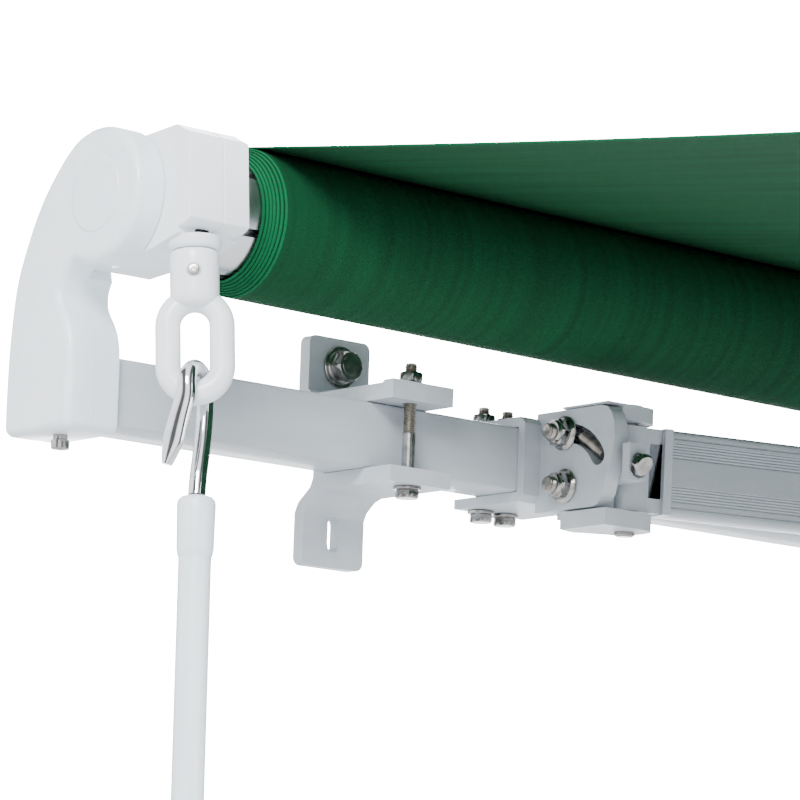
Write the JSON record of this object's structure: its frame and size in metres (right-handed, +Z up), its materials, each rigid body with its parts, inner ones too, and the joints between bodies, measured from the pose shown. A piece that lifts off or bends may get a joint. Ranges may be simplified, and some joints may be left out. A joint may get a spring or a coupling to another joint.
{
  "type": "folding-arm awning",
  "caption": "Hand-cranked folding-arm patio awning with green canvas, square torque bar, wall brackets, roller and hooked crank handle.",
  "frame": {"origin": "back face of the left wall bracket, below its wall bolt", "axes": "+X along the awning to its other end, +Y into the wall, +Z up; the front of the awning faces -Y"},
  "size_m": [3, 0.6662, 1.5649],
  "materials": {
    "white_plastic": "glossy bluish white",
    "painted_metal": "satin light grey powder coat",
    "painted_bar": "satin grey powder coat",
    "stainless": "bright stainless",
    "chrome": "polished",
    "galvanised": "zinc plated",
    "green_canvas": "woven dark green acrylic canvas",
    "brass": "machined"
  },
  "bodies": {
    "frame": {"torque_bar": "painted_bar", "gearbox_outer_half": "white_plastic", "gearbox_inner_half": "white_plastic", "idler_housing": "white_plastic", "canvas_sheet": "green_canvas", "left_end_cover": "white_plastic", "left_cover_screw": "stainless", "left_wall_bracket": "painted_metal", "left_wall_bolt": "stainless", "left_bar_clamp_bolt": "stainless", "left_shoulder_base": "painted_metal", "left_base_bolt_outer": "stainless", "left_base_bolt_inner": "stainless", "left_pitch_pivot_bolt": "stainless", "left_pitch_lock_bolt": "stainless", "left_pitch_adjuster": "stainless", "left_arm_carrier": "painted_metal", "left_shoulder_pin": "stainless", "right_end_cover": "white_plastic", "right_cover_screw": "stainless", "right_wall_bracket": "painted_metal", "right_wall_bolt": "stainless", "right_bar_clamp_bolt": "stainless", "right_shoulder_base": "painted_metal", "right_base_bolt_outer": "stainless", "right_base_bolt_inner": "stainless", "right_pitch_pivot_bolt": "stainless", "right_pitch_lock_bolt": "stainless", "right_pitch_adjuster": "stainless", "right_arm_carrier": "painted_metal", "right_shoulder_pin": "stainless"},
    "roller": {"roller_tube": "galvanised", "canvas_roll": "green_canvas", "roller_end_plug": "white_plastic", "worm_wheel": "brass"},
    "crank": {"crank_eye": "white_plastic", "worm_screw": "stainless", "crank_hook": "chrome", "crank_rod": "white_plastic", "crank_throw": "white_plastic"},
    "grip": {"crank_grip": "white_plastic"},
    "upper_arm_left": {"left_upper_arm": "painted_metal", "left_shoulder_knuckle": "painted_metal", "left_elbow_fork": "painted_metal"},
    "forearm_left": {"left_forearm": "painted_metal", "left_elbow_tongue": "painted_metal", "left_elbow_pin": "stainless", "left_front_knuckle": "painted_metal"},
    "upper_arm_right": {"right_upper_arm": "painted_metal", "right_shoulder_knuckle": "painted_metal", "right_elbow_fork": "painted_metal"},
    "forearm_right": {"right_forearm": "painted_metal", "right_elbow_tongue": "painted_metal", "right_elbow_pin": "stainless", "right_front_knuckle": "painted_metal"},
    "front": {"front_bar": "painted_metal", "left_front_cap": "white_plastic", "right_front_cap": "white_plastic", "left_front_bracket": "painted_metal", "right_front_bracket": "painted_metal"}
  },
  "joints": [
    {"name": "crank_turn", "type": "hinge", "parent": "frame", "child": "crank", "pos_m": [-0.2143, -0.13387, 0.07137], "axis": [0, 0.0785, 0.9969], "continuous": true},
    {"name": "roller_turn", "type": "hinge", "parent": "frame", "child": "roller", "pos_m": [0, -0.091, 0.068], "axis": [1, 0, 0], "continuous": true},
    {"name": "grip_turn", "type": "hinge", "parent": "crank", "child": "grip", "pos_m": [-0.08351, -0.09641, -1.32082], "axis": [0, -0.0209, -0.9998], "continuous": true},
    {"name": "shoulder_left", "type": "hinge", "parent": "frame", "child": "upper_arm_left", "pos_m": [0.143, -0.117, -0.044], "axis": [0, 0.0262, -0.9997], "range_deg": [-12.5, 60]},
    {"name": "elbow_left", "type": "hinge", "parent": "upper_arm_left", "child": "forearm_left", "pos_m": [1.10893, -0.37573, -0.05078], "axis": [0, -0.0262, 0.9997], "range_deg": [-25, 120]},
    {"name": "front_left", "type": "hinge", "parent": "forearm_left", "child": "front", "pos_m": [0.143, -0.63446, -0.05755], "axis": [0, 0.0262, -0.9997], "range_deg": [-12.5, 60]},
    {"name": "shoulder_right", "type": "hinge", "parent": "frame", "child": "upper_arm_right", "pos_m": [2.3544, -0.117, -0.044], "axis": [0, -0.0262, 0.9997], "range_deg": [-12.5, 60]},
    {"name": "elbow_right", "type": "hinge", "parent": "upper_arm_right", "child": "forearm_right", "pos_m": [1.38847, -0.37573, -0.05078], "axis": [0, 0.0262, -0.9997], "range_deg": [-25, 120]}
  ],
  "couplings": [
    {"joint": "roller_turn", "follows": "crank_turn", "ratio": 0.090909},
    {"joint": "elbow_left", "follows": "shoulder_left", "ratio": 2},
    {"joint": "front_left", "follows": "shoulder_left", "ratio": 1},
    {"joint": "shoulder_right", "follows": "shoulder_left", "ratio": 1},
    {"joint": "elbow_right", "follows": "shoulder_left", "ratio": 2}
  ]
}
